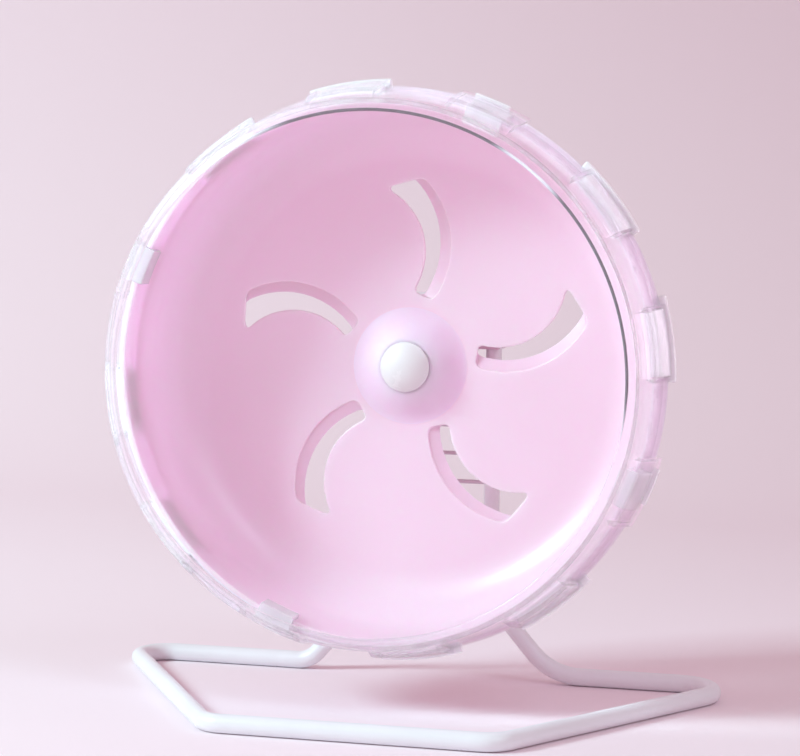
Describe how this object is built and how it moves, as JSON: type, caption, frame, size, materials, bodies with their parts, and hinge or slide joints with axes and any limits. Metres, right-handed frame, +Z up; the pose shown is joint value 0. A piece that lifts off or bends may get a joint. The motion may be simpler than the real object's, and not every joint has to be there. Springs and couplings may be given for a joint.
{
  "type": "hamster wheel",
  "caption": "Free-standing silent hamster wheel: pink vented dish with a clear castellated track, turning on a ball bearing on a bent-rod stand.",
  "frame": {"origin": "on the floor, under the middle of the whole object's bounding box", "axes": "+X to the right as seen from the open side, +Y to the rear along the axle, +Z up"},
  "size_m": [0.241, 0.139, 0.23],
  "materials": {
    "powder_coat": "satin",
    "rung_coat": "satin",
    "bracket": "satin",
    "clamp": "satin",
    "dish": "smooth satin gloss",
    "track": "clear, polished",
    "clip": "smooth",
    "cap": "smooth",
    "race": "ground",
    "ball": "polished",
    "cage": "moulded",
    "shield": "pressed",
    "zinc": "zinc plated",
    "sleeve": "turned",
    "retainer": "moulded"
  },
  "bodies": {
    "stand": {"stand_frame": "powder_coat", "rung_1": "rung_coat", "rung_2": "rung_coat", "rung_3": "rung_coat", "rung_4": "rung_coat", "rung_5": "rung_coat", "rung_6": "rung_coat", "axle_bracket": "bracket", "clamp_plate": "clamp", "axle_bolt": "zinc", "lock_nut": "zinc", "nut_washer": "zinc", "bolt_washer": "zinc", "spacer_sleeve": "sleeve", "bearing_inner_race": "race"},
    "wheel": {"dish": "dish", "running_track": "track", "rim_clip_1": "clip", "rim_clip_2": "clip", "rim_clip_3": "clip", "rim_clip_4": "clip", "hub_cap": "cap", "bearing_outer_race": "race", "bearing_shield_front": "shield", "bearing_shield_rear": "shield", "bearing_retainer": "retainer", "retainer_screw_1": "zinc", "retainer_screw_2": "zinc", "retainer_screw_3": "zinc"},
    "ball_set": {"bearing_ball_1": "ball", "bearing_ball_2": "ball", "bearing_ball_3": "ball", "bearing_ball_4": "ball", "bearing_ball_5": "ball", "bearing_ball_6": "ball", "bearing_ball_7": "ball", "bearing_cage": "cage"}
  },
  "joints": [
    {"name": "wheel_spin", "type": "hinge", "parent": "stand", "child": "wheel", "pos_m": [0, 0.02095, 0.125], "axis": [0, 1, 0], "continuous": true},
    {"name": "cage_spin", "type": "hinge", "parent": "stand", "child": "ball_set", "pos_m": [0, 0.02095, 0.125], "axis": [0, 1, 0], "continuous": true}
  ],
  "couplings": [
    {"joint": "cage_spin", "follows": "wheel_spin", "ratio": 0.6323}
  ]
}
